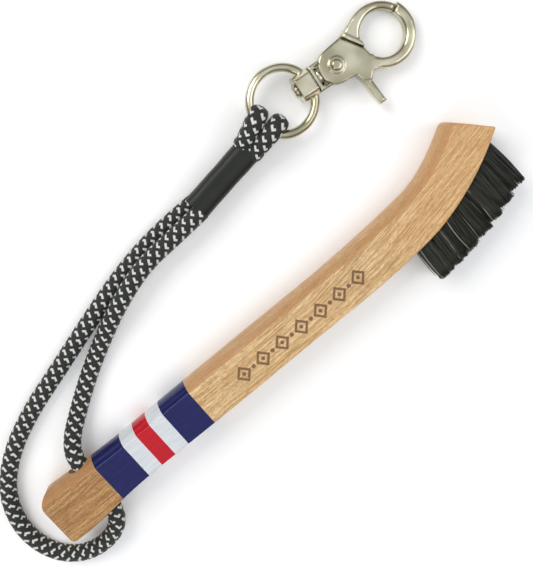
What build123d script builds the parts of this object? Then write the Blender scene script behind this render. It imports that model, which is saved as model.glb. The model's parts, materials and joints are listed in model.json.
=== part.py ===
"""Club groove brush: a curved wooden handle with three rows of nylon tufts, on a cord lanyard with a snap hook.

The brush lies on one side face. +X runs along the handle from butt to head, +Y points to the handle's back
(the tufts point towards -Y) and +Z is up. The origin is under the middle of the brush, on the surface it lies on.
"""

from build123d import *
from math import atan2, cos, degrees, pi, radians, sin, sqrt, tan
import os

# ---- driving dimensions, in mm -------------------------------------------------------------------------------

# handle
THICK = 14.0  # between the two side faces
MID = THICK / 2
BACK_RISE = 3.2  # how far the domed back stands out between its two edges
EDGE_ROUND = 0.45  # rounding of the handle's edges
HEAD_ROUND = 2.2  # rounding where the domed back meets the head's end
BORE_X = -82.5  # lanyard bore, from the belly through to the back
BORE_R = 3.5
BORE_FLARE = 0.6  # eased mouth of the bore

# colour bands, flush with the wood
BAND_DEEP = 0.2
BAND_ENDS = [-76.6, -64.4, -58.6, -52.7, -46.9, -35.3]
BAND_NAMES = ["band_navy_butt", "band_white_butt", "band_red", "band_white_head", "band_navy_head"]

# tufts
TUFT_COLUMNS = 7
TUFT_ROWS_Z = [2.9, 7.0, 11.1]
TUFT_FIRST_X = 58.2  # on the belly
TUFT_PITCH_X = 6.0  # the middle row stands half a pitch on from the outer two
TUFT_FIRST_LEAN = 1.0  # degrees off -Y, towards the head
TUFT_LEAN_STEP = 0.8
TUFT_R = 2.0
TUFT_TIP_HALF_X = 2.95
TUFT_TIP_HALF_Z = 2.0
HOLE_DEEP = 6.0
STAPLE = (3.0, 1.4, 0.4)  # across the hole, along it, and the wire's thickness

# cord, sleeve
CORD_D = 6.0
SLEEVE_FOOT = Vector(6.5, 51.0, 5.6)
SLEEVE_TOP = Vector(32.6, 54.8, 5.6)
SLEEVE_WIDE = 9.8
SLEEVE_TALL = 11.1
SLEEVE_CORNER = 4.3
SLEEVE_WALL = 0.6

# swivel ring: its wire's centreline passes through both folds of the cord
RING_R = 11.0
WIRE_R = 1.5
FOLD_A = Vector(40.6, 60.8, 7.9)
FOLD_B = Vector(42.0, 54.3, 7.9)
RING_DROP = 5.1  # degrees that ring and hook slope down to the surface
HOOK_HEADING = -6.3  # degrees from +X, seen from above

# snap hook, in its own plane: x along the swivel from the ring's centre, y across, z through
HALF_T = 2.4
SPLIT = 0.05  # half the gap between the two layers at the pivot
BASE_FRONT = 12.3
BASE_HALF_W = 4.8
BASE_HALF_H = 3.5
WINDOW_FRONT = 13.5
WINDOW_HALF_W = 3.75
PIVOT = (21.2, 0.0)
CHEEK_R = 6.1
EYE = (40.1, 0.3)
EYE_R = 7.7
STEP_TOP = (27.4, 6.95)
STEP_FOOT = (32.45, -0.5)
RIDGE_WIDE = 1.3
GAP_ANGLE = 31.5
GAP_HALF = 0.2
RIVET_R = 1.3
STUD_R = 1.6
SPRING_R = 2.0
SPRING_WIRE = 0.4

# ---- handle --------------------------------------------------------------------------------------------------

BELLY = [
    (-100.2, -9.3), (-88.0, -9.6), (-76.0, -8.5), (-52.0, -8.1), (-20.0, -8.4), (14.0, -8.4),
    (40.0, -8.4), (54.0, -7.6), (65.0, -6.3), (76.0, -3.4), (88.0, 1.5), (100.2, 8.5),
]
BACK_EDGE = [
    (-106.0, 7.3), (-92.0, 6.9), (-76.0, 5.9), (-45.0, 5.5), (0.0, 5.3), (35.0, 5.4),
    (56.0, 6.5), (69.0, 8.2), (80.0, 12.5), (97.0, 22.7),
]
HEAD_BACK = (88.4, 20.5)


def belly_curve():
    return Spline(*BELLY)


def outline(raised=0.0):
    """Plan of the handle, wider than the wood at the back, where the domed back is the limit."""
    head = Vector(*BELLY[-1])
    beyond = Vector(*HEAD_BACK) + (Vector(*HEAD_BACK) - head)
    edges = [
        belly_curve(),
        Line(head, beyond),
        Line(beyond, (60, 28)),
        Line((60, 28), (-80, 11.3)),
        Line((-80, 11.3), (-100.2, 9.5)),
        Line((-100.2, 9.5), BELLY[0]),
    ]
    plan = make_face(edges)
    corners = plan.vertices().filter_by_position(Axis.X, -100.3, -100.1).sort_by(Axis.Y)
    plan = fillet(corners[1], 5.0)
    corners = plan.vertices().filter_by_position(Axis.X, -100.3, -100.1).sort_by(Axis.Y)
    plan = fillet(corners[0], 1.8)
    return Pos(0, raised, 0) * plan


def blank(inset=0.0):
    """The whole handle, or the same shape set in from its sides, back and belly."""
    path = Spline(*BACK_EDGE)
    round_r = (MID**2 + BACK_RISE**2) / (2 * BACK_RISE)
    centre = round_r - BACK_RISE
    edge = centre - sqrt((round_r - inset) ** 2 - (MID - inset) ** 2)
    deep = 34.0
    profile = make_face([
        Line((inset, deep), (inset, edge)),
        ThreePointArc((inset, edge), (MID, inset - BACK_RISE), (THICK - inset, edge)),
        Line((THICK - inset, edge), (THICK - inset, deep)),
        Line((THICK - inset, deep), (inset, deep)),
    ])
    start = Plane(origin=path @ 0, x_dir=(0, 0, 1), z_dir=path % 0)
    domed = sweep(start * profile, path=path)
    sharp = domed & extrude(outline(inset), THICK)
    head_corner = sharp.edges().filter_by(GeomType.BSPLINE).sort_by(Axis.Y)[-1]
    eased = fillet(head_corner, HEAD_ROUND)
    return fillet(eased.edges().filter_by(lambda e: e.length > 5), EDGE_ROUND - inset)


def bore_tool():
    """A round bore along Y whose mouths open out to the wood's surface."""
    belly_y, back_y = -9.5, 9.8
    wide = BORE_R + BORE_FLARE
    profile = Polyline(
        (0, belly_y - 4), (wide, belly_y - 4), (wide, belly_y - 0.1), (BORE_R, belly_y + BORE_FLARE + 0.3),
        (BORE_R, back_y - BORE_FLARE - 1.2), (wide, back_y - 0.3), (wide, back_y + 4), (0, back_y + 4), close=True,
    )
    return Pos(BORE_X, 0, MID) * revolve(make_face(profile), Axis.Y)


def band_slab(i):
    low, high = BAND_ENDS[i], BAND_ENDS[i + 1]
    return Pos((low + high) / 2, 0, MID) * Box(high - low, 60, 60)


def on_belly(x):
    """The point of the belly at a given x."""
    curve = belly_curve()
    low, high = 0.0, 1.0
    for _ in range(40):
        mid = (low + high) / 2
        if (curve @ mid).X < x:
            low = mid
        else:
            high = mid
    return curve @ low


def tip_y(x):
    """The trimmed line of the tufts' tips."""
    run = x - 56
    return -21.3 + 0.055 * run + 0.0046 * run**2


def tuft_plane(column, z):
    """Origin where the tuft leaves the belly, z axis out along the tuft, x axis towards the head."""
    root = on_belly(TUFT_FIRST_X + TUFT_PITCH_X * column)
    lean = radians(TUFT_FIRST_LEAN + TUFT_LEAN_STEP * column)
    return Plane(origin=(root.X, root.Y, z), x_dir=(cos(lean), sin(lean), 0), z_dir=(sin(lean), -cos(lean), 0))


def staple(plane):
    across, along, wire = STAPLE
    return plane * Pos(0, 0, -HOLE_DEEP + along / 2 - 0.5) * Box(across, wire, along)


def tuft(plane):
    root = plane.origin
    long = root.Y - tip_y(root.X)
    packed = plane * Pos(0, 0, -HOLE_DEEP / 2) * Cylinder(TUFT_R, HOLE_DEEP)
    flared = loft([plane * Circle(TUFT_R), plane * Pos(0, 0, long) * Ellipse(TUFT_TIP_HALF_X, TUFT_TIP_HALF_Z)])
    return packed + flared - staple(plane)


def make_brush():
    nodes = {}
    whole = blank()
    skin = whole - blank(BAND_DEEP)
    bands = [skin & band_slab(i) for i in range(len(BAND_NAMES))]
    handle = whole - bore_tool()
    for name, band in zip(BAND_NAMES, bands):
        handle = handle - band
        nodes[name] = band
    staples = []
    for row, z in enumerate(TUFT_ROWS_Z):
        staggered = row % 2
        for column in range(TUFT_COLUMNS - staggered):
            plane = tuft_plane(column + staggered / 2, z)
            bristles = tuft(plane)
            handle = handle - bristles - staple(plane)
            staples.append(staple(plane))
            nodes[f"tuft_{'abc'[row]}{column + 1}"] = bristles
    nodes["handle"] = handle
    nodes["tuft_staples"] = Compound(staples)
    return nodes


# ---- cord and sleeve -----------------------------------------------------------------------------------------

# from the sleeve along the outer strand, round the butt, through the bore and back along the inner strand
CORD_ROUTE = [
    (7.2, 52.9, 3.2), (-7.5, 53.0, 3.0), (-26.0, 50.4, 3.0), (-46.0, 45.0, 3.0), (-65.5, 39.1, 3.0),
    (-83.5, 33.9, 3.0), (-98.5, 27.0, 3.0), (-110.0, 16.8, 3.0), (-114.8, 2.6, 3.0), (-111.8, -10.8, 3.0),
    (-102.6, -18.7, 3.4), (-89.4, -18.5, 5.6), (-82.6, -11.2, 7.0), (-82.4, 11.3, 7.0), (-78.6, 17.6, 5.4),
    (-70.8, 23.3, 3.3), (-59.3, 30.8, 3.0), (-47.5, 37.1, 3.8), (-34.0, 43.4, 7.9), (-18.5, 48.1, 8.2),
    (-5.0, 48.5, 8.2), (7.8, 49.3, 8.2),
]
# out of the sleeve over the ring and back in under it
FOLD_A_ROUTE = [(31.4, 57.0, 8.1), (41.0, 60.8, 14.1), (46.6, 62.2, 9.5), (44.4, 61.5, 3.0), (31.4, 57.0, 3.0)]
FOLD_B_ROUTE = [(31.9, 52.4, 8.1), (42.6, 54.5, 14.1), (47.8, 55.5, 9.4), (45.6, 55.0, 3.0), (31.9, 52.4, 3.0)]


def bend_radii(route):
    """For each corner, an arc that takes up 0.45 of the shorter of its two runs on each side."""
    points = [Vector(*p) for p in route]
    radii = []
    for a, b, c in zip(points, points[1:], points[2:]):
        turn = (b - a).get_angle(c - b)
        shorter = min((b - a).length, (c - b).length)
        radii.append(0.45 * shorter / tan(radians(turn / 2)))
    return radii


def cord_solid(name, route):
    radii = bend_radii(route)
    path = FilletPolyline(*route, radius=radii)
    section = Plane(origin=path @ 0, z_dir=path % 0) * Circle(CORD_D / 2)
    tube = sweep(section, path=path)
    section_times_length = pi * CORD_D**2 / 4 * path.length
    print(name, "radii", [round(r, 1) for r in radii], "length", round(path.length, 1))
    print(name, "volume over section x length", round(tube.volume / section_times_length, 4))
    return tube


def sleeve_plane():
    return Plane(origin=SLEEVE_FOOT, x_dir=(0, 0, 1), z_dir=SLEEVE_TOP - SLEEVE_FOOT)


def make_lanyard():
    plane = sleeve_plane()
    long = (SLEEVE_TOP - SLEEVE_FOOT).length
    skin = RectangleRounded(SLEEVE_TALL, SLEEVE_WIDE, SLEEVE_CORNER)
    inside = RectangleRounded(
        SLEEVE_TALL - 2 * SLEEVE_WALL, SLEEVE_WIDE - 2 * SLEEVE_WALL, SLEEVE_CORNER - SLEEVE_WALL
    )
    return {
        "lanyard_cord": cord_solid("lanyard_cord", CORD_ROUTE),
        "ring_fold_a": cord_solid("ring_fold_a", FOLD_A_ROUTE),
        "ring_fold_b": cord_solid("ring_fold_b", FOLD_B_ROUTE),
        "sleeve": plane * extrude(skin - inside, long),
        "cord_in_sleeve": plane * extrude(inside, long),
    }


# ---- swivel ring and stud ------------------------------------------------------------------------------------


def ring_centre():
    """The ring's centre lies one centreline radius from both folds, on the hook's side."""
    chord = FOLD_B - FOLD_A
    middle = (FOLD_A + FOLD_B) / 2
    outward = Vector(-chord.Y, chord.X, 0).normalized()
    reach = sqrt(RING_R**2 - (chord.length / 2) ** 2)
    drop = radians(RING_DROP)
    return middle + outward * (reach * cos(drop)) - Vector(0, 0, reach * sin(drop))


def hook_plane():
    """The plane that ring and hook lie in at rest: it slopes down from the folds to the surface."""
    chord = (FOLD_B - FOLD_A).normalized()
    outward = Vector(-chord.Y, chord.X, 0)
    drop, heading = radians(RING_DROP), radians(HOOK_HEADING)
    up = outward * sin(drop) + Vector(0, 0, cos(drop))
    ahead = Vector(cos(heading), sin(heading), 0)
    along = ahead - up * ahead.dot(up)
    return Plane(origin=ring_centre(), x_dir=along.normalized(), z_dir=up)


def rod(r, low, high):
    """A cylinder along the local x axis."""
    return Pos((low + high) / 2, 0, 0) * Rot(0, 90, 0) * Cylinder(r, high - low)


def make_ring():
    boss_back, boss_front = 6.0, 12.0
    boss = rod(4.7, boss_back, boss_front) & Box(60, 60, 7.4)
    boss = fillet(boss.edges().filter_by(Axis.X), 0.6)
    ring = Torus(RING_R, WIRE_R) + boss
    ring = ring - Pos(boss_front + 5, 0, 0) * Box(10, 60, 10)
    return ring - rod(STUD_R, 0, 20)


def make_stud():
    peened = rod(2.5, 5.1, 5.95) + rod(1.9, 4.7, 5.2)
    shank = rod(STUD_R, 5.5, 14)
    head = fillet(rod(3.3, 13.6, 14.8).edges(), 0.3)
    return peened + shank + head


# ---- snap hook -----------------------------------------------------------------------------------------------


def at(point):
    return Pos(point[0], point[1], 0)


def polygon(*points):
    return make_face(Polyline(*points, close=True))


def jaw_side():
    """Everything on the moving jaw's side of the step by the pivot and of the gap at the tip."""
    slope = Vector(STEP_FOOT[0] - STEP_TOP[0], STEP_FOOT[1] - STEP_TOP[1]).normalized()
    above = Vector(*STEP_TOP) - slope * 10
    gap = radians(GAP_ANGLE)
    tip = (EYE[0] + 20 * cos(gap), EYE[1] + 20 * sin(gap))
    return polygon((above.X, above.Y), STEP_FOOT, EYE, tip, (62, -30), (-4, -30), (-4, above.Y))


def slab(face, low, high):
    return Pos(0, 0, low) * extrude(face, high - low)


def soften(solid, r):
    """Round the long edges above and below, leaving the upright ones."""
    top = solid.edges().group_by(Axis.Z)[-1]
    bottom = solid.edges().group_by(Axis.Z)[0]
    return fillet(top + bottom, r)


def step_ridge():
    """A low raised bar on the fixed arm, along the step where the jaw's plate meets it."""
    top, foot = Vector(*STEP_TOP), Vector(*STEP_FOOT)
    slope = foot - top
    middle = (top + foot) / 2 + Vector(-slope.Y, slope.X).normalized() * (RIDGE_WIDE / 2 + 0.1)
    turn = degrees(atan2(slope.Y, slope.X))
    bar = Box(slope.length - 1.2, RIDGE_WIDE, 0.9)
    bar = fillet(bar.edges().group_by(Axis.Z)[-1], 0.25)
    bar = Pos(middle.X, middle.Y, HALF_T - 0.05) * Rot(0, 0, turn) * bar
    return bar - at(EYE) * Cylinder(EYE_R, 20)


def make_clasp_body():
    base = Pos((BASE_FRONT + 16.2) / 2, 0, 0) * Box(16.2 - BASE_FRONT, 2 * BASE_HALF_W, 2 * BASE_HALF_H)
    base = fillet(base.edges().filter_by(Axis.X), 1.0)
    window = Pos((WINDOW_FRONT + 18) / 2, 0, 0) * Box(18 - WINDOW_FRONT, 2 * WINDOW_HALF_W, 20)
    base = base - window - rod(STUD_R + 0.06, 0, 20)
    neck = polygon(
        (20.6, 6.05), STEP_TOP, (33.0, 9.4), (36.0, 5.0), (33.0, -1.2), (30.5, -2.2), (24.5, -5.1), (20.0, -4.0)
    )
    heel = polygon((15.3, -4.8), (20.0, -4.8), (20.0, 4.8), (15.3, 4.8))
    plate = at(PIVOT) * Circle(CHEEK_R) + heel + neck - at(EYE) * Circle(EYE_R)
    arm = at((38.9, -1.0)) * Circle(12.2) + polygon(STEP_TOP, (33.6, 10.0), (38.9, 5.0), STEP_FOOT)
    arm = arm - at(EYE) * Circle(EYE_R) - jaw_side()
    body = base + slab(plate, -HALF_T, -SPLIT) + soften(slab(arm, -HALF_T, HALF_T), 1.2) + step_ridge()
    body = body - at(PIVOT) * Cylinder(RIVET_R, 20)
    return body - at(PIVOT) * Pos(0, 0, -SPLIT - 0.45) * Cylinder(2.7, 0.9)


def make_trigger_jaw():
    side = jaw_side()
    plate = at(PIVOT) * Circle(CHEEK_R) + polygon(
        (20.6, 6.05), (26.8, 6.5), (32.15, -0.7), (33.0, -5.0), (30.0, -8.0), (25.6, -6.4), (21.0, -6.0)
    )
    plate = plate - at(EYE) * Circle(EYE_R)
    neck_room = polygon((15, 20), (15, -6.6), (24.6, -5.5), (30.6, -2.6), (33.6, -1.5), (40, 0.3), (40, 20))
    arm = at((40.3, 0.1)) * Circle(11.35) - at(EYE) * Circle(EYE_R)
    gap = at(EYE) * Rot(0, 0, GAP_ANGLE) * Pos(10, 0, 0) * Rectangle(20, 2 * GAP_HALF)
    arm = (arm & side) - neck_room - gap
    web = polygon((25.2, -5.9), (30.4, -3.2), (33.4, -3.6), (34.0, -8.5), (30.6, -8.3), (28.9, -10.4), (26.2, -9.0))
    web = web - at(EYE) * Circle(EYE_R)
    lever = polygon((25.6, -7.0), (28.6, -7.0), (29.6, -18.8), (27.0, -18.8))
    jaw = slab(plate, SPLIT, HALF_T) + soften(slab(arm, -HALF_T, HALF_T), 1.3) + slab(web, -HALF_T, HALF_T)
    jaw = jaw + soften(slab(lever, -HALF_T + 0.3, HALF_T - 0.3), 0.9)
    jaw = jaw + at(PIVOT) * Pos(0, 0, HALF_T) * Cylinder(2.8, 0.7)
    jaw = jaw - at(PIVOT) * Cylinder(RIVET_R + 0.05, 20)
    return jaw - at(PIVOT) * Pos(0, 0, SPLIT + 0.45) * Cylinder(2.7, 0.9)


def make_rivet():
    top, bottom = HALF_T + 0.37, -HALF_T
    shank = Pos(0, 0, (top + bottom) / 2) * Cylinder(RIVET_R, top - bottom + 0.2)
    dome = Pos(0, 0, top + 0.45) * Cylinder(1.9, 0.8)
    dome = fillet(dome.edges().group_by(Axis.Z)[-1], 0.7)
    foot = Pos(0, 0, bottom - 0.3) * Cylinder(2.1, 0.6)
    foot = fillet(foot.edges().group_by(Axis.Z)[0], 0.4)
    return at(PIVOT) * (shank + dome + foot)


def make_spring():
    turns, pitch = 3, 0.44
    path = Helix(pitch, turns * pitch, SPRING_R)
    section = Plane(origin=path @ 0, z_dir=path % 0) * Circle(SPRING_WIRE / 2)
    coil = sweep(section, path=path)
    return at(PIVOT) * Pos(0, 0, -turns * pitch / 2) * coil


def make_hook():
    plane = hook_plane()
    pieces = {
        "swivel_ring": make_ring(),
        "swivel_stud": make_stud(),
        "clasp_body": make_clasp_body(),
        "trigger_jaw": make_trigger_jaw(),
        "jaw_rivet": make_rivet(),
        "jaw_spring": make_spring(),
    }
    return {name: plane * piece for name, piece in pieces.items()}


def main():
    os.makedirs("parts", exist_ok=True)
    nodes = make_brush() | make_lanyard() | make_hook()
    for name, shape in nodes.items():
        export_step(shape, f"parts/{name}.step")
    plane = hook_plane()
    pivot = (plane * Pos(PIVOT[0], PIVOT[1], 0)).position
    print("ring centre", plane.origin, "swivel axis", plane.x_dir, "pivot", pivot, "pivot axis", plane.z_dir)


main()
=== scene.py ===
"""Looks of the club groove brush: beech handle, lacquer bands, bristles, braided lanyard and nickel snap hook.

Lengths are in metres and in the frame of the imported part; a name ending in _MM is in millimetres.
"""

import json
import math
import random

import bpy
import numpy as np
from mathutils import Matrix, Vector


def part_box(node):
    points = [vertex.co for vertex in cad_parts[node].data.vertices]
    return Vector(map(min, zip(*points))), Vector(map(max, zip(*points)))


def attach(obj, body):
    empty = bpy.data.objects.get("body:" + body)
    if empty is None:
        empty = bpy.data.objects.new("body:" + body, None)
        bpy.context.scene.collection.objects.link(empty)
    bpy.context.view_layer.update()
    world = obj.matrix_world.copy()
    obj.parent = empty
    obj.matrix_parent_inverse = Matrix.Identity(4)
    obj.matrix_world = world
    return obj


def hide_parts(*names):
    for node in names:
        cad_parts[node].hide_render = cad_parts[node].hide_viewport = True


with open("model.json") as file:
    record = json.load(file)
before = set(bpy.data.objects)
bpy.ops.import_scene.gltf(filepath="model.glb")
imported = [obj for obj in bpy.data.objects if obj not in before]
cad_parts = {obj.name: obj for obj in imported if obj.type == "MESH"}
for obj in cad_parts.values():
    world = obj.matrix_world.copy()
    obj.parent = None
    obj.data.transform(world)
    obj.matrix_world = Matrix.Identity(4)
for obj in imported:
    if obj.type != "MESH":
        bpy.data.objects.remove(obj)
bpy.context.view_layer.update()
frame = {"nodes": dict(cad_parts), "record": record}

NODES = frame["nodes"]
MM = 0.001

# ---- camera --------------------------------------------------------------------------------------------------

CAMERA_AT_MM = (24.51, 69.94, 310.0)
CAMERA_RIGHT = (0.76761, -0.63682, 0.07241)
CAMERA_UP = (0.63880, 0.75099, -0.16714)
CAMERA_BACK = (0.05206, 0.17456, 0.98327)
LENS = 57.33
SENSOR_WIDTH = 36.0
CLIP_START = 10 * MM


def make_camera():
    data = bpy.data.cameras.new("camera")
    data.lens = LENS
    data.sensor_width = SENSOR_WIDTH
    data.clip_start = CLIP_START
    camera = bpy.data.objects.new("camera", data)
    axes = Matrix((CAMERA_RIGHT, CAMERA_UP, CAMERA_BACK)).transposed().to_4x4()
    camera.matrix_world = Matrix.Translation(Vector(CAMERA_AT_MM) * MM) @ axes
    bpy.context.scene.collection.objects.link(camera)
    bpy.context.scene.camera = camera


# ---- materials -----------------------------------------------------------------------------------------------


def srgb(r, g, b):
    """A colour as seen, 0 to 255, in the linear light that shaders use."""
    def linear(v):
        v = v / 255
        return v / 12.92 if v <= 0.04045 else ((v + 0.055) / 1.055) ** 2.4
    return (linear(r), linear(g), linear(b), 1.0)


# a Mix node's sockets when it mixes colours: share, first and second colour, and the result
MIX_INPUTS = (0, 6, 7)
MIX_RESULT = 2


class Shader:
    """A material's node tree, built up as expressions on its sockets."""

    def __init__(self, name, **settings):
        self.material = bpy.data.materials.new(name)
        self.material.use_nodes = True
        self.tree = self.material.node_tree
        self.surface = self.tree.nodes["Principled BSDF"]
        for socket, value in settings.items():
            self.surface.inputs[socket.replace("_", " ")].default_value = value

    def node(self, kind, inputs=(), **settings):
        made = self.tree.nodes.new(kind)
        for key, value in settings.items():
            setattr(made, key, value)
        for socket, value in dict(inputs).items():
            self.feed(made.inputs[socket], value)
        return made

    def feed(self, socket, value):
        if isinstance(value, bpy.types.NodeSocket):
            self.tree.links.new(value, socket)
        else:
            socket.default_value = value

    def out(self, socket, value):
        self.feed(self.surface.inputs[socket], value)

    def math(self, operation, *values):
        made = self.node("ShaderNodeMath", operation=operation)
        for socket, value in zip(made.inputs, values):
            self.feed(socket, value)
        return made.outputs[0]

    def total(self, a, b):
        return self.math("ADD", a, b)

    def product(self, a, b):
        return self.math("MULTIPLY", a, b)

    def difference(self, a, b):
        return self.math("SUBTRACT", a, b)

    def absolute(self, value):
        return self.math("ABSOLUTE", value)

    def parity(self, whole):
        """1 where a whole number is odd, 0 where it is even."""
        return self.math("GREATER_THAN", self.math("FRACT", self.product(whole, 0.5)), 0.25)

    def step(self, value, low, high):
        """0 below low and 1 above high, smooth between; the other way round if high is below low."""
        flip = high < low
        made = self.node("ShaderNodeMapRange", interpolation_type="SMOOTHSTEP")
        inputs = made.inputs
        self.feed(inputs["Value"], value)
        inputs["From Min"].default_value, inputs["From Max"].default_value = min(low, high), max(low, high)
        inputs["To Min"].default_value, inputs["To Max"].default_value = (1.0, 0.0) if flip else (0.0, 1.0)
        return made.outputs["Result"]

    def near(self, value, centre, half, soft):
        """1 within half of centre, 0 beyond it."""
        off = self.absolute(self.difference(value, centre))
        return self.step(off, half + soft, half - soft)

    def mix(self, share, a, b):
        """Colour a where share is 0 and b where it is 1."""
        made = self.node("ShaderNodeMix", data_type="RGBA")
        for socket, value in zip(MIX_INPUTS, (share, a, b)):
            self.feed(made.inputs[socket], value)
        return made.outputs[MIX_RESULT]

    def coordinate(self, kind):
        return self.node("ShaderNodeTexCoord").outputs[kind]

    def parts(self, vector):
        return self.node("ShaderNodeSeparateXYZ", {"Vector": vector}).outputs

    def place_mm(self):
        """Object coordinates in millimetres, and their three parts."""
        scaled = self.node("ShaderNodeVectorMath", operation="SCALE")
        self.feed(scaled.inputs[0], self.coordinate("Object"))
        self.feed(scaled.inputs["Scale"], 1 / MM)
        place = scaled.outputs[0]
        x, y, z = self.parts(place)
        return place, x, y, z

    def stretched(self, x, y, z, sx, sy, sz):
        scaled = [self.product(value, scale) for value, scale in ((x, sx), (y, sy), (z, sz))]
        return self.node("ShaderNodeCombineXYZ", dict(zip("XYZ", scaled))).outputs[0]

    def noise(self, vector, scale=1.0, detail=2.0, rough=0.5):
        inputs = {"Vector": vector, "Scale": scale, "Detail": detail, "Roughness": rough}
        return self.node("ShaderNodeTexNoise", inputs).outputs["Fac"]

    def bump(self, height, depth, strength=1.0, normal=None):
        made = self.node("ShaderNodeBump", {"Height": height, "Strength": strength, "Distance": depth})
        if normal is not None:
            self.feed(made.inputs["Normal"], normal)
        self.out("Normal", made.outputs[0])


MID_Z_MM = 7.0  # halfway between the handle's side faces
UPPER_Z_MM = (13.9, 13.97)  # just below the upper side face
BUTT_X_MM = (-70.0, -78.0)  # the change to the butt's browner wood, mostly under the bands
HEAD_X_MM = (30.0, 80.0)  # where the wood turns warmer
GRAIN_BENDS_FROM_MM = -20.0
GRAIN_BEND = 0.0011  # sideways shift in mm for each square mm run
GRAIN_WANDER_MM = 5.0


def beech():
    """Straight-grained wood with flecks, browner at the butt, with the burnt row on its upper side face, and
    painted shade on the rounded back strip, darker still along its edges.
    """
    s = Shader("beech", Roughness=0.42, Coat_Weight=0.12, Coat_Roughness=0.3)
    _, x, y, z = s.place_mm()
    # the grain bends up towards the head, sooner and less steeply than the handle, and wanders a little
    run = s.math("MAXIMUM", s.total(x, -GRAIN_BENDS_FROM_MM), 0.0)
    y = s.difference(y, s.product(s.product(run, run), GRAIN_BEND))
    wander = s.noise(s.stretched(x, y, z, 0.02, 0.05, 0.05), detail=1.0)
    y = s.total(y, s.product(wander, GRAIN_WANDER_MM))
    rings = s.noise(s.stretched(x, y, z, 0.010, 0.42, 0.30), detail=3.0, rough=0.6)
    fibres = s.noise(s.stretched(x, y, z, 0.13, 4.6, 4.6), detail=1.0)
    pale = s.step(s.noise(s.stretched(x, y, z, 0.08, 2.9, 2.9), detail=1.0), 0.44, 0.60)
    flecks = s.step(s.noise(s.stretched(x, y, z, 0.9, 4.2, 3.6), detail=0.0), 0.52, 0.63)
    lines = s.step(s.noise(s.stretched(x, y, z, 0.035, 1.15, 1.0), detail=2.0), 0.53, 0.66)
    butt = s.step(x, *BUTT_X_MM)
    normal = s.parts(s.coordinate("Normal"))
    # painted shade: faces that point towards the back strip, picked by their normal, are coloured browner and
    # darker
    back = s.step(normal[1], 0.12, 0.5)
    end = s.step(s.absolute(normal[0]), 0.75, 0.95)
    # near either side face; together with back this marks the back strip's edges, where the painted shade is
    # darkest
    rim = s.step(s.absolute(s.difference(z, MID_Z_MM)), 3.6, 5.2)
    warm = s.total(s.product(s.step(x, *HEAD_X_MM), 0.24), 0.06)
    light = s.mix(butt, srgb(233, 200, 147), srgb(188, 142, 84))
    mid = s.mix(butt, srgb(219, 180, 123), srgb(168, 120, 64))
    dark = s.mix(butt, srgb(146, 100, 52), srgb(98, 60, 26))
    bright = s.mix(butt, srgb(248, 220, 172), srgb(216, 172, 114))
    colour = s.mix(s.step(rings, 0.38, 0.64), light, mid)
    burnt = s.mix(fibres, srgb(128, 88, 50), srgb(92, 58, 30))
    for share, over in (
        (s.product(pale, 0.55), bright),
        (s.product(s.step(fibres, 0.46, 0.56), 0.52), dark),
        (s.product(lines, 0.16), dark),
        (s.product(flecks, 0.42), dark),
        (warm, srgb(204, 138, 66)),
        # the next two are painted shade on the back strip and a darker painted band along its edges
        (s.product(back, 0.5), srgb(194, 144, 96)),
        (s.product(s.product(back, rim), 0.25), srgb(176, 116, 62)),
        (s.product(end, 0.4), srgb(150, 102, 60)),
        (burnt_row(s, x, z), burnt),
    ):
        colour = s.mix(share, colour, over)
    s.out("Base Color", colour)
    s.out("Roughness", s.total(s.product(fibres, 0.22), 0.32))
    s.bump(s.difference(fibres, s.product(flecks, 0.6)), 0.06 * MM, 0.7)
    return s.material


BURNT_FROM_MM, BURNT_TO_MM, BURNT_PITCH_MM = -21.0, 37.8, 8.4
BURNT_ENDS_MM = 1.05  # left plain at both ends, where half a dot would come
BURNT_Y_MM = -1.6
BURNT_BENDS_FROM_MM = 10.0
BURNT_BEND = 0.0012  # as GRAIN_BEND
LOZENGE_MM = (3.0, 3.3)  # half its size along the handle and across it
LOZENGE_LINE = (0.81, 0.19)  # middle and half width of its outline, as shares of its size
LOZENGE_HEART = (0.30, 0.24)
DOT_R_MM = (0.85, 0.65)  # where its soft edge begins and ends


def burnt_row(s, x, z):
    """A plain burnt-in row of lozenges with a dot between each two, on the upper side face."""
    y = s.place_mm()[2]
    run = s.math("MAXIMUM", s.total(x, -BURNT_BENDS_FROM_MM), 0.0)
    middle = s.total(s.product(s.math("POWER", run, 2.0), BURNT_BEND), BURNT_Y_MM)
    across = s.absolute(s.difference(y, middle))
    cell = s.math("DIVIDE", s.total(x, -BURNT_FROM_MM), BURNT_PITCH_MM)
    along = s.product(s.difference(s.math("FRACT", cell), 0.5), BURNT_PITCH_MM)
    away = s.absolute(along)
    lozenge = s.total(s.math("DIVIDE", away, LOZENGE_MM[0]), s.math("DIVIDE", across, LOZENGE_MM[1]))
    outline = s.near(lozenge, *LOZENGE_LINE, 0.03)
    heart = s.step(lozenge, *LOZENGE_HEART)
    gap = s.difference(away, BURNT_PITCH_MM / 2)
    from_dot = s.math("SQRT", s.total(s.product(gap, gap), s.product(across, across)))
    dot = s.step(from_dot, *DOT_R_MM)
    half = (BURNT_TO_MM - BURNT_FROM_MM) / 2 - BURNT_ENDS_MM
    inside = s.near(x, (BURNT_FROM_MM + BURNT_TO_MM) / 2, half, 0.05)
    upper = s.product(s.step(z, *UPPER_Z_MM), inside)
    mark = s.math("MAXIMUM", s.math("MAXIMUM", outline, heart), dot)
    worn = s.step(s.noise(s.stretched(x, y, z, 1.2, 2.0, 2.0), detail=3.0), 0.30, 0.48)
    return s.product(s.product(mark, upper), s.total(s.product(worn, 0.32), 0.62))


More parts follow.
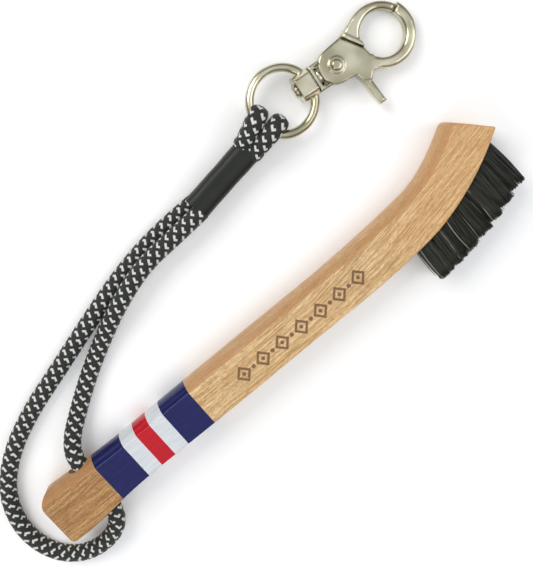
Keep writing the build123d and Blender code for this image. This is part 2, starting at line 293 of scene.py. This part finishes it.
def lacquer(name, colour, shade):
    """Lacquer over wood whose grain shows faintly, in a colour that goes over to its shade here and there."""
    s = Shader(name, Roughness=0.24, Specular_IOR_Level=0.28, Coat_Weight=0.12, Coat_Roughness=0.08)
    place, x, y, z = s.place_mm()
    grain = s.noise(s.stretched(x, y, z, 0.15, 1.8, 1.8), detail=3.0)
    s.out("Base Color", s.mix(s.step(grain, 0.35, 0.7), colour, shade))
    s.out("Roughness", s.total(s.product(s.noise(place, 0.6), 0.12), 0.18))
    s.bump(grain, 0.03 * MM, 0.5)
    return s.material


CAST_EDGE = 1.0 * MM  # how far the shading rounds the castings' edges


def nickel():
    """Plated castings and ring: slightly clouded and uneven, with softened edges."""
    s = Shader("nickel_plate", Metallic=1.0)
    place = s.place_mm()[0]
    cloud = s.step(s.noise(place, 0.11, 1.0), 0.30, 0.70)
    s.out("Base Color", s.mix(cloud, srgb(172, 166, 138), srgb(218, 212, 188)))
    s.out("Roughness", s.total(s.product(s.noise(place, 1.1, 3.0), 0.10), 0.15))
    rounded = s.node("ShaderNodeBevel", {"Radius": CAST_EDGE}, samples=8).outputs[0]
    s.bump(s.noise(place, 0.14, 1.0), 0.4 * MM, 1.0, rounded)
    return s.material


def wire(name):
    s = Shader(name, Metallic=1.0)
    place = s.place_mm()[0]
    s.out("Base Color", s.mix(s.noise(place, 1.5), srgb(150, 148, 142), srgb(190, 188, 182)))
    s.out("Roughness", s.total(s.product(s.noise(place, 3.0), 0.2), 0.22))
    return s.material


def rubber():
    s = Shader("sleeve_rubber", Specular_IOR_Level=0.34)
    place = s.place_mm()[0]
    fine = s.noise(place, 2.4, 4.0)
    cloud = s.noise(place, 0.18, 2.0)
    s.out("Base Color", s.mix(cloud, srgb(20, 24, 18), srgb(32, 36, 28)))
    s.out("Roughness", s.total(s.product(fine, 0.22), 0.34))
    s.bump(fine, 0.04 * MM, 0.6)
    return s.material


def bristle():
    """Near-black nylon; the mesh's tone lightens some bristles and makes a few almost white."""
    s = Shader("nylon_bristle", Roughness=0.38, Specular_IOR_Level=0.5)
    place = s.place_mm()[0]
    tone = s.node("ShaderNodeAttribute", attribute_name="tone").outputs["Fac"]
    colour = s.mix(s.product(tone, 1.6), srgb(12, 13, 10), srgb(66, 68, 54))
    colour = s.mix(s.step(tone, 0.9, 0.96), colour, srgb(176, 176, 160))
    colour = s.mix(s.product(s.noise(place, 0.8), 0.4), colour, srgb(36, 38, 30))
    s.out("Base Color", colour)
    s.bump(s.noise(place, 4.0), 0.02 * MM, 0.4)
    return s.material


# ---- braid ---------------------------------------------------------------------------------------------------

CARRIERS = 8  # strands that wind each way round the cord
THREADS = 4  # side by side in each strand
LAY_MM = 1.95  # along the cord, from one crossing to the next in the same column
CORD_D = 6.0 * MM
STRAND_FLATNESS = 0.6  # less than 1 makes a strand's top flatter and its sides steeper
STRAND_DIP = 0.45  # how far a strand goes down where another crosses it, as a share of its height
RELIEF_MIDDLE = 0.55  # the height of the braid that lies on the cord's nominal surface


def braid_height(around, along):
    """Height of the braid, 0 to 1, from turns round the cord and crossings along it."""
    a, b = CARRIERS * around + along, CARRIERS * around - along
    fa, fb = a % 1.0, b % 1.0
    first_on_top = (np.floor(a) + np.floor(b)) % 2 == 0
    across, lengthwise = np.where(first_on_top, fa, fb), np.where(first_on_top, fb, fa)
    crown = 1 - STRAND_DIP + STRAND_DIP * np.sin(np.pi * lengthwise)
    return np.sin(np.pi * across) ** STRAND_FLATNESS * crown


def braid():
    """Dark strands with white ones; the mesh's map holds crossings along the cord and turns round it."""
    s = Shader("braided_cord", Roughness=0.62, Sheen_Weight=0.08, Sheen_Roughness=0.5)
    along, turns, _ = s.parts(s.node("ShaderNodeUVMap", uv_map="braid").outputs[0])
    around = s.product(turns, float(CARRIERS))
    a, b = s.total(around, along), s.difference(around, along)
    fa, fb = s.math("FRACT", a), s.math("FRACT", b)
    odd = s.parity(s.total(s.math("FLOOR", a), s.math("FLOOR", b)))
    even = s.difference(1.0, odd)
    # every second strand is white, and two floats that meet make a small V
    first = s.product(s.near(fa, 0.27, 0.26, 0.06), s.near(fb, 0.62, 0.42, 0.06))
    second = s.product(s.near(fb, 0.23, 0.27, 0.06), s.near(fa, 0.53, 0.45, 0.06))
    white = s.total(s.product(first, even), s.product(second, odd))
    white = s.product(white, s.parity(s.math("FLOOR", a)))
    threads_a = s.math("SINE", s.product(fa, 2 * math.pi * THREADS))
    threads_b = s.math("SINE", s.product(fb, 2 * math.pi * THREADS))
    threads = s.total(s.product(threads_a, even), s.product(threads_b, odd))
    fuzz = s.noise(s.place_mm()[0], 3.2, 3.0)
    dark = s.mix(s.step(s.total(threads, fuzz), -0.6, 1.6), srgb(11, 15, 14), srgb(36, 42, 39))
    pale = s.mix(fuzz, srgb(190, 190, 180), srgb(244, 244, 238))
    s.out("Base Color", s.mix(white, dark, pale))
    s.bump(s.total(s.product(threads, 0.5), fuzz), 0.09 * MM, 0.8)
    return s.material


# ---- meshes --------------------------------------------------------------------------------------------------


def new_piece(name, points, faces, body, material, replaced, smooth=True):
    """A mesh object that rides on a body and stands in for the replaced CAD nodes."""
    mesh = bpy.data.meshes.new(name)
    mesh.from_pydata([tuple(p) for p in points], [], faces)
    mesh.polygons.foreach_set("use_smooth", [smooth] * len(mesh.polygons))
    mesh.materials.append(material)
    mesh.update()
    piece = bpy.data.objects.new(name, mesh)
    bpy.context.scene.collection.objects.link(piece)
    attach(piece, body)
    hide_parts(*replaced)
    return piece


def route_line(name, route_mm):
    """Points along the smooth line of a route, close together, in metres."""
    curve = bpy.data.curves.new(name, "CURVE")
    curve.dimensions = "3D"
    curve.resolution_u = 24
    spline = curve.splines.new("NURBS")
    spline.points.add(len(route_mm) - 1)
    for point, place in zip(spline.points, route_mm):
        point.co = (*(Vector(place) * MM), 1.0)
    spline.order_u = 3
    spline.use_endpoint_u = True
    holder = bpy.data.objects.new(name, curve)
    line = bpy.data.meshes.new_from_object(holder)
    points = np.array([v.co for v in line.vertices], float)
    bpy.data.meshes.remove(line)
    bpy.data.objects.remove(holder)
    bpy.data.curves.remove(curve)
    return points


def evenly(points, gap):
    """Points about a gap apart along a line, and how far along it each one is."""
    steps = np.linalg.norm(np.diff(points, axis=0), axis=1)
    run = np.concatenate([[0.0], np.cumsum(steps)])
    at = np.linspace(0.0, run[-1], int(run[-1] / gap) + 2)
    return np.stack([np.interp(at, run, points[:, i]) for i in range(3)], axis=1), at


def frames_along(points, side=None):
    """Unit vectors ahead, to the side and up at each point, with no twist, or with a fixed side."""
    ahead = np.gradient(points, axis=0)
    ahead /= np.linalg.norm(ahead, axis=1)[:, None]
    sides = []
    last = np.cross((0.0, 0.0, 1.0), ahead[0]) if side is None else np.array(side, float)
    for t in ahead:
        last = last - t * (last @ t)
        last = last / np.linalg.norm(last)
        sides.append(last)
        last = last if side is None else np.array(side, float)
    sides = np.array(sides)
    return ahead, sides, np.cross(ahead, sides)


# the ring's middle, normal and radii at rest, and the line and range of the ring_flap joint, as in the CAD
RING_AT = np.array((51.51, 59.75, 6.97)) * MM
RING_UP = np.array((0.08754, 0.01864, 0.99599))
RING_R = 11.0 * MM
RING_WIRE_R = 1.5 * MM
FLAP_AT = np.array((41.3, 57.55, 7.9)) * MM
FLAP_AXIS = Vector((0.210556, -0.977582, 0.0))
FLAP_DEGREES = range(-110, 111, 5)
FOLD_PLAY = 0.06 * MM  # between the ring's wire and a fold


def clear_of_ring(points):
    """The same points, pressed out of the ring's wire wherever the ring can flap to."""
    for degrees in FLAP_DEGREES:
        turn = np.array(Matrix.Rotation(math.radians(degrees), 3, FLAP_AXIS))
        centre, normal = FLAP_AT + turn @ (RING_AT - FLAP_AT), turn @ RING_UP
        off = points - centre
        level = off - (off @ normal)[..., None] * normal
        out = off - level * (RING_R / np.linalg.norm(level, axis=-1))[..., None]
        away = np.linalg.norm(out, axis=-1)
        push = np.maximum(RING_WIRE_R + FOLD_PLAY - away, 0.0)
        points = points + out * (push / away)[..., None]
    return points


# the handle's bore, as in the CAD: x and z of its axis, then its radius at four places along y
BORE_AT_MM = (-82.5, 7.0)
BORE_Y_MM = (-9.7, -8.6, 8.0, 9.5)
BORE_R_MM = (4.1, 3.5, 3.5, 4.1)
BORE_PLAY_MM = 0.12  # between the wall and the cord
BORE_REACH_MM = (10.2, 6.0)  # points further out than this, along y or from the axis, are left alone
TINY_MM = 0.1  # keeps points on the axis from a division by zero


def inside_bore(points):
    """The same points, pressed in from the wall of the bore where the cord goes through it."""
    at = points / MM
    off = at[..., (0, 2)] - np.array(BORE_AT_MM)
    away = np.linalg.norm(off, axis=-1)
    room = np.interp(at[..., 1], BORE_Y_MM, BORE_R_MM) - BORE_PLAY_MM
    within = (np.abs(at[..., 1]) < BORE_REACH_MM[0]) & (away < BORE_REACH_MM[1])
    share = np.where(within, np.minimum(room / np.maximum(away, TINY_MM), 1.0), 1.0)
    at[..., 0] = BORE_AT_MM[0] + off[..., 0] * share
    at[..., 2] = BORE_AT_MM[1] + off[..., 1] * share
    return at * MM


CORD_SIDES = 44
CORD_GAP = 0.42 * MM  # between the mesh's rings
RELIEF = 0.20 * MM  # from the braid's valleys to its crowns
NODE_OF = {"cord_braid": "lanyard_cord", "fold_a_braid": "ring_fold_a", "fold_b_braid": "ring_fold_b"}


def braided_tube(name, line, half_wide, half_high, side=None, start=0.0):
    """A cord's braided surface round a line; its half width and height may differ from point to point."""
    points, run = evenly(line, CORD_GAP)
    _, sides, ups = frames_along(points, side)
    share = run / run[-1]
    wide, high = half_wide(share), half_high(share)
    around = np.arange(CORD_SIDES) / CORD_SIDES
    along = (run / MM + start) / LAY_MM
    relief = RELIEF * (braid_height(around[None, :], along[:, None]) - RELIEF_MIDDLE)
    angle = 2 * np.pi * around
    out_wide = (wide[:, None] + relief) * np.cos(angle)[None, :]
    out_high = (high[:, None] + relief) * np.sin(angle)[None, :]
    shell = points[:, None] + out_wide[..., None] * sides[:, None] + out_high[..., None] * ups[:, None]
    shell = inside_bore(clear_of_ring(shell))
    verts = np.concatenate([shell.reshape(-1, 3), points[:1], points[-1:]])
    count, n = len(points), CORD_SIDES
    faces, corners = [], []
    for i in range(count - 1):
        here, ahead = i * n, (i + 1) * n
        for j in range(n):
            k = (j + 1) % n
            faces.append((here + j, here + k, ahead + k, ahead + j))
            left, right = j / n, (j + 1) / n
            corners += [along[i], left, along[i], right, along[i + 1], right, along[i + 1], left]
    first_tip, last_tip, last_ring = count * n, count * n + 1, (count - 1) * n
    for j in range(n):
        faces.append((first_tip, (j + 1) % n, j))
        corners += [along[0], j / n] * 3
    for j in range(n):
        faces.append((last_tip, last_ring + j, last_ring + (j + 1) % n))
        corners += [along[-1], j / n] * 3
    piece = new_piece(name, verts, faces, "lanyard", BRAID, [NODE_OF[name]])
    layer = piece.data.uv_layers.new(name="braid")
    layer.data.foreach_set("uv", np.array(corners, np.float32))
    return piece


# the lanyard's route, as in the CAD
CORD_ROUTE_MM = [
    (7.2, 52.9, 3.2), (-7.5, 53.0, 3.0), (-26.0, 50.4, 3.0), (-46.0, 45.0, 3.0), (-65.5, 39.1, 3.0),
    (-83.5, 33.9, 3.0), (-98.5, 27.0, 3.0), (-110.0, 16.8, 3.0), (-114.8, 2.6, 3.0), (-111.8, -10.8, 3.0),
    (-102.6, -18.7, 3.4), (-89.4, -18.5, 5.6), (-82.6, -11.2, 7.0), (-82.4, 11.3, 7.0), (-78.6, 17.6, 5.4),
    (-70.8, 23.3, 3.3), (-59.3, 30.8, 3.0), (-47.5, 37.1, 3.8), (-34.0, 43.4, 7.9), (-18.5, 48.1, 8.2),
    (-5.0, 48.5, 8.2), (7.8, 49.3, 8.2),
]

# a fold in its own upright plane: how far ahead of the ring's wire and how far above it
FOLD_MM = [
    (-9.9, 0.4), (-3.5, 3.5), (1.0, 4.3), (3.9, 2.7), (3.9, -2.6), (1.0, -4.2), (-4.0, -4.6), (-9.9, -4.8),
]
# where the fold holds the wire, where it leaves the sleeve, how much further its tip reaches than FOLD_MM,
# and a shift of its braid, so that the two don't look the same
FOLDS = {
    "fold_a_braid": ((40.6, 60.8, 7.9), (31.4, 57.0), -0.8, 1.3),
    "fold_b_braid": ((42.0, 54.3, 7.9), (31.9, 52.4), 1.0, 3.4),
}
# half sizes of a fold at its ends and where it is pressed round the ring
FOLD_HALF_WIDE = (2.9 * MM, 3.15 * MM)
FOLD_HALF_HIGH = (2.7 * MM, 1.9 * MM)
FOLD_FULL_FROM = 0.34  # from its middle, as a share of its length, to where it is no longer pressed


def constant(value):
    """A size that is the same along the whole cord."""
    return lambda share: np.full_like(share, value)


def pressed(at_ends, over_ring):
    """A size that changes from the ends of a fold to where it goes round the ring."""
    def size(share):
        blend = np.clip(np.abs(share - 0.5) / FOLD_FULL_FROM, 0, 1) ** 2
        return over_ring + (at_ends - over_ring) * blend
    return size


def make_cords():
    """The braided main run with its line, and the two folds."""
    line = route_line("cord_line", CORD_ROUTE_MM)
    cord = braided_tube("cord_braid", line, constant(CORD_D / 2), constant(CORD_D / 2))
    pieces = []
    for name, (wire_at, start, further, shift) in FOLDS.items():
        heading = Vector((wire_at[0] - start[0], wire_at[1] - start[1], 0)).normalized()
        forward = [ahead + further * (ahead > 0) for ahead, _ in FOLD_MM]
        route = [Vector(wire_at) + heading * f + Vector((0, 0, up)) for f, (_, up) in zip(forward, FOLD_MM)]
        side = heading.cross(Vector((0, 0, 1)))
        wide, high = pressed(*FOLD_HALF_WIDE), pressed(*FOLD_HALF_HIGH)
        pieces.append(braided_tube(name, route_line(name, route), wide, high, side, shift))
    return cord, line, pieces


# ---- sleeve --------------------------------------------------------------------------------------------------

SLEEVE_WALL = 0.6 * MM
SLEEVE_SIDES = 64
SLEEVE_SQUARENESS = 0.62  # 1 for an ellipse, 0 for a rectangle
SLEEVE_WAISTS = ((0.035, 0.60, 0.16), (0.015, 0.2, 0.12))  # each one's depth, place and length, as shares
SLEEVE_GROOVE = (0.22 * MM, 0.16)  # depth and width of the grooves between the four strands inside
SLEEVE_LEAN = 0.06 * MM  # unevenness
SLEEVE_INSET = 0.08 * MM  # keeps the skin within the CAD's sleeve
SLEEVE_EDGE = 0.25 * MM
SLEEVE_INNER_AT = (1.0, 0.92, 0.08, 0.0)  # the inner wall's stations
CORE_ENDS = (0.045, 0.955)
CORE_PLAY = 0.02 * MM
UP = np.array((0, 0, 1.0))


def node_axis(name):
    """The two end points of a long straight node, its direction, and its half sizes level and upright."""
    co = np.array([v.co for v in NODES[name].data.vertices], float)
    middle = (co.min(0) + co.max(0)) / 2
    flat = co - middle
    ahead = np.linalg.svd(flat[:, :2] - flat[:, :2].mean(0), full_matrices=False)[2][0]
    ahead = np.array([*(ahead * np.sign(ahead[0])), 0.0])
    side = np.cross(UP, ahead)
    along, across = flat @ ahead, flat @ side
    centre = middle + ahead * (along.max() + along.min()) / 2
    centre = centre + side * (across.max() + across.min()) / 2
    half = (along.max() - along.min()) / 2
    half_wide, half_high = (across.max() - across.min()) / 2, np.ptp(co[:, 2]) / 2
    return centre - ahead * half, centre + ahead * half, ahead, half_wide, half_high


def sleeve_ring(t, shrink):
    """Outline of the sleeve a share t along it, as level and upright offsets."""
    _, _, _, half_wide, half_high = SLEEVE
    angle = np.linspace(0, 2 * np.pi, SLEEVE_SIDES, endpoint=False)
    waist = 1 - sum(depth * np.exp(-(((t - at) / long) ** 2)) for depth, at, long in SLEEVE_WAISTS)
    cos, sin = np.cos(angle), np.sin(angle)
    x = np.sign(cos) * np.abs(cos) ** SLEEVE_SQUARENESS
    z = np.sign(sin) * np.abs(sin) ** SLEEVE_SQUARENESS
    lean = SLEEVE_LEAN * np.sin(7 * t + 2 * angle) * np.sin(np.pi * t)
    deep, width = SLEEVE_GROOVE
    groove = deep * (np.exp(-((cos / width) ** 2)) + np.exp(-((sin / width) ** 2)))
    inward = shrink + lean + groove + SLEEVE_INSET
    return (half_wide * waist - inward) * x, (half_high - inward) * z


def make_sleeve():
    """The sleeve's skin, open at both ends with a rounded edge, and the bundle of cord inside it."""
    foot, top, ahead, _, _ = SLEEVE
    side = np.cross(UP, ahead)
    long = np.linalg.norm(top - foot)

    def ring_at(t, shrink):
        x, z = sleeve_ring(t, shrink)
        return list(foot + ahead * long * t + x[:, None] * side + z[:, None] * UP)

    turns = np.linspace(0, math.pi / 2, 4)
    edge = [(SLEEVE_EDGE * (1 - math.cos(a)) / long, SLEEVE_EDGE * (1 - math.sin(a))) for a in turns]
    stations = edge + [(t, 0.0) for t in np.linspace(0.02, 0.98, 60)]
    stations += [(1 - t, shrink) for t, shrink in reversed(edge)]
    inner = [(t, SLEEVE_WALL) for t in SLEEVE_INNER_AT]
    verts = []
    for t, shrink in stations + inner:
        verts += ring_at(t, shrink)
    rings, n = len(stations) + len(inner), SLEEVE_SIDES
    faces = []
    for i in range(rings):
        for j in range(n):
            k, nxt = (j + 1) % n, (i + 1) % rings
            faces.append((i * n + j, nxt * n + j, nxt * n + k, i * n + k))
    skin = new_piece("sleeve_skin", verts, faces, "lanyard", RUBBER, ["sleeve"])
    verts = [point for t in CORE_ENDS for point in ring_at(t, SLEEVE_WALL + CORE_PLAY)]
    faces = [(j, n + j, n + (j + 1) % n, (j + 1) % n) for j in range(n)]
    faces += [tuple(range(n)), tuple(reversed(range(n, 2 * n)))]
    core = new_piece(
        "sleeve_core", verts, faces, "lanyard", BRAID, ["cord_in_sleeve"], smooth=False,
    )
    return [skin, core]


# ---- bristles ------------------------------------------------------------------------------------------------

# the tufts' lean, about as in the CAD: degrees at a place along the head, and more for each mm further on
TUFT_FIRST_X_MM, TUFT_FIRST_LEAN, TUFT_LEAN_PER_MM = 58.2, 1.0, 0.133
TUFT_HOLE = 6.0 * MM
# half sizes along the head and across it
TUFT_ROOT_HALF = (2.8 * MM, 1.9 * MM)
TUFT_TIP_HALF = (3.3 * MM, 1.9 * MM)
TUFT_SHIFT = 0.4 * MM  # into the hole, so that the longest bristles end a little inside the CAD's tuft
ROOT_SUNK = 0.6 * MM  # how much further in a bristle begins

# the clumps of a tuft's tips: how many, and where they may be, as shares of the tuft's half sizes
CLUMPS = 5
CLUMP_WIDE, CLUMP_HIGH = 0.75, 0.7
CLUMP_REACH = (-0.9, 0.25)  # shorter or longer, in shares of CLUMP_STEP
CLUMP_STEP = 0.6 * MM
CLUMP_PULL = 0.30  # how far a bristle's tip goes to the nearest clump's middle

BRISTLES = 210
BRISTLE_R = 0.15 * MM
BRISTLE_STEPS = 6
BRISTLE_SIDES = 4
BRISTLE_TAPER = 0.35
SPREAD_POWER = 0.42  # 0.5 spreads the bristles evenly, less puts more of them near the tuft's rim
TIP_SCATTER_MM = 0.35
REACH_MM = (-0.2, 0.45)  # mean and scatter of a bristle's length, against its tuft's
BEND = (0.13 * MM, 0.12 * MM)
STRAY_SHARE, STRAY_SPREAD = 0.05, 1.12
PALE_SHARE, DARK_TONE = 0.025, 0.85
SEED_STEP = 17


def make_tuft(node, rng):
    """One tuft: bristles that fan out of its hole and gather into a few ragged clumps at their tips."""
    low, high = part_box(node)
    middle_x = (low.x + high.x) / 2
    lean = math.radians(TUFT_FIRST_LEAN + TUFT_LEAN_PER_MM * (middle_x / MM - TUFT_FIRST_X_MM))
    out = Vector((math.sin(lean), -math.cos(lean), 0))
    tip_mid = Vector((middle_x, low.y, (low.z + high.z) / 2))
    long = (high.y - low.y) / math.cos(lean) - TUFT_HOLE
    root_mid = tip_mid - out * (long + TUFT_SHIFT)
    cross = Vector((math.cos(lean), math.sin(lean), 0))
    up = Vector((0, 0, 1))
    clumps = [
        (rng.uniform(-CLUMP_WIDE, CLUMP_WIDE), rng.uniform(-CLUMP_HIGH, CLUMP_HIGH), rng.uniform(*CLUMP_REACH))
        for _ in range(CLUMPS)
    ]
    verts, faces, tones = [], [], []
    for _ in range(BRISTLES):
        spread, turn = rng.random() ** SPREAD_POWER, rng.uniform(0, 2 * math.pi)
        u, v = spread * math.cos(turn), spread * math.sin(turn)
        near = min(clumps, key=lambda c: (c[0] - u) ** 2 + (c[1] - v) ** 2)
        tip_u = (u * (1 - CLUMP_PULL) + near[0] * CLUMP_PULL) * TUFT_TIP_HALF[0]
        tip_u += rng.gauss(0, TIP_SCATTER_MM) * MM
        tip_v = (v * (1 - CLUMP_PULL) + near[1] * CLUMP_PULL) * TUFT_TIP_HALF[1]
        reach = long + CLUMP_STEP * near[2] + rng.gauss(*REACH_MM) * MM
        if rng.random() < STRAY_SHARE:
            tip_u *= STRAY_SPREAD
        start = root_mid + cross * (u * TUFT_ROOT_HALF[0]) + up * (v * TUFT_ROOT_HALF[1]) - out * ROOT_SUNK
        end = root_mid + out * min(reach, long) + cross * tip_u + up * tip_v
        bend = cross * rng.gauss(0, BEND[0]) + up * rng.gauss(0, BEND[1])
        tone = 1.0 if rng.random() < PALE_SHARE else rng.random() ** 2 * DARK_TONE
        base = len(verts)
        for k in range(BRISTLE_STEPS):
            t = k / (BRISTLE_STEPS - 1)
            at = start.lerp(end, t) + bend * math.sin(math.pi * t) * 2
            r = BRISTLE_R * (1 - BRISTLE_TAPER * t**4)
            for q in range(BRISTLE_SIDES):
                angle = 2 * math.pi / BRISTLE_SIDES * q
                verts.append(at + cross * (r * math.cos(angle)) + up * (r * math.sin(angle)))
                tones.append(tone)
        for k in range(BRISTLE_STEPS - 1):
            ring = base + BRISTLE_SIDES * k
            for q in range(BRISTLE_SIDES):
                a, b = ring + q, ring + (q + 1) % BRISTLE_SIDES
                faces.append((a, b, b + BRISTLE_SIDES, a + BRISTLE_SIDES))
        last = base + BRISTLE_SIDES * (BRISTLE_STEPS - 1)
        faces.append(tuple(range(last, last + BRISTLE_SIDES)))
        faces.append(tuple(reversed(range(base, base + BRISTLE_SIDES))))
    piece = new_piece(node.replace("tuft", "bristles"), verts, faces, "brush", BRISTLE, [node])
    attribute = piece.data.attributes.new("tone", "FLOAT", "POINT")
    attribute.data.foreach_set("value", np.array(tones, np.float32))


def make_tufts():
    """Every tuft, each with its own fixed random seed."""
    tufts = sorted(name for name in NODES if name.startswith("tuft_") and name != "tuft_staples")
    for i, name in enumerate(tufts):
        make_tuft(name, random.Random(SEED_STEP * i))


# ---- floor and light -----------------------------------------------------------------------------------------

FLOOR_HALF = 3.0
FLOOR_GLOW = 0.10
DOME_EDGE, DOME_TOP = 0.20, 1.0  # strengths
DOME_POWER = 3.0
LIGHTS_AIM_AT = Vector((0, 0.02, 0))


def make_floor():
    """A white floor at z = 0 that takes the shadow."""
    s = Shader("floor_white", Roughness=0.6, Specular_IOR_Level=0.2)
    place = s.place_mm()[0]
    s.out("Base Color", s.mix(s.noise(place, 0.02), (0.93, 0.93, 0.93, 1), (0.95, 0.95, 0.95, 1)))
    s.out("Emission Color", (1, 1, 1, 1))
    s.out("Emission Strength", FLOOR_GLOW)
    mesh = bpy.data.meshes.new("floor")
    corners = [(x * FLOOR_HALF, y * FLOOR_HALF, 0) for x, y in ((-1, -1), (1, -1), (1, 1), (-1, 1))]
    mesh.from_pydata(corners, [], [(0, 1, 2, 3)])
    mesh.materials.append(s.material)
    floor = bpy.data.objects.new("floor", mesh)
    bpy.context.scene.collection.objects.link(floor)


def make_light(name, at, size, power, colour=(1, 1, 1)):
    data = bpy.data.lights.new(name, "AREA")
    data.shape = "RECTANGLE"
    data.size, data.size_y = size
    data.energy = power
    data.color = colour
    light = bpy.data.objects.new(name, data)
    light.location = at
    light.rotation_euler = (LIGHTS_AIM_AT - Vector(at)).to_track_quat("-Z", "Y").to_euler()
    bpy.context.scene.collection.objects.link(light)


def make_world():
    """An even dome, brighter overhead than at its edge, so that metal has something to show."""
    world = bpy.data.worlds.new("world")
    bpy.context.scene.world = world
    world.use_nodes = True
    nodes, links = world.node_tree.nodes, world.node_tree.links
    background = nodes["Background"]
    background.inputs["Color"].default_value = (0.95, 0.97, 1.0, 1)
    parts = nodes.new("ShaderNodeSeparateXYZ")
    links.new(nodes.new("ShaderNodeTexCoord").outputs["Generated"], parts.inputs[0])
    ramp = nodes.new("ShaderNodeMapRange")
    height = nodes.new("ShaderNodeMath")
    height.operation = "POWER"
    links.new(parts.outputs[2], height.inputs[0])
    height.inputs[1].default_value = DOME_POWER
    links.new(height.outputs[0], ramp.inputs["Value"])
    ramp.inputs["To Min"].default_value = DOME_EDGE
    ramp.inputs["To Max"].default_value = DOME_TOP
    links.new(ramp.outputs["Result"], background.inputs["Strength"])


def make_lights():
    make_light("key", (-0.15, 0.75, 0.75), (0.6, 0.6), 5.6, (1.0, 0.98, 0.95))
    make_light("fill", (0.70, -0.45, 0.80), (0.7, 0.7), 2.8)
    make_light("back", (-0.75, -0.25, 0.60), (0.5, 0.5), 1.8)
    bpy.context.scene.view_settings.view_transform = "Standard"


# ---- the object ----------------------------------------------------------------------------------------------

BRAID = braid()
RUBBER = rubber()
BRISTLE = bristle()
SLEEVE = node_axis("sleeve")

FINISHES = {
    "beech": beech(),
    "navy_lacquer": lacquer("navy_lacquer", srgb(18, 22, 80), srgb(24, 28, 90)),
    "white_lacquer": lacquer("white_lacquer", srgb(216, 220, 224), srgb(204, 208, 215)),
    "red_lacquer": lacquer("red_lacquer", srgb(194, 14, 34), srgb(182, 10, 30)),
    "staple_wire": wire("staple_wire"),
    "spring_wire": wire("spring_wire"),
    "nickel_plate": nickel(),
}


def finish_cad_nodes():
    """Give the CAD nodes that stay in the picture their materials."""
    for part in frame["record"]["subparts"]:
        if part["material_slot"] in FINISHES:
            mesh = NODES[part["node"]].data
            mesh.materials.clear()
            mesh.materials.append(FINISHES[part["material_slot"]])


make_camera()
make_floor()
make_world()
make_lights()
finish_cad_nodes()
cord, cord_line, fold_pieces = make_cords()
sleeve_pieces = make_sleeve()
make_tufts()
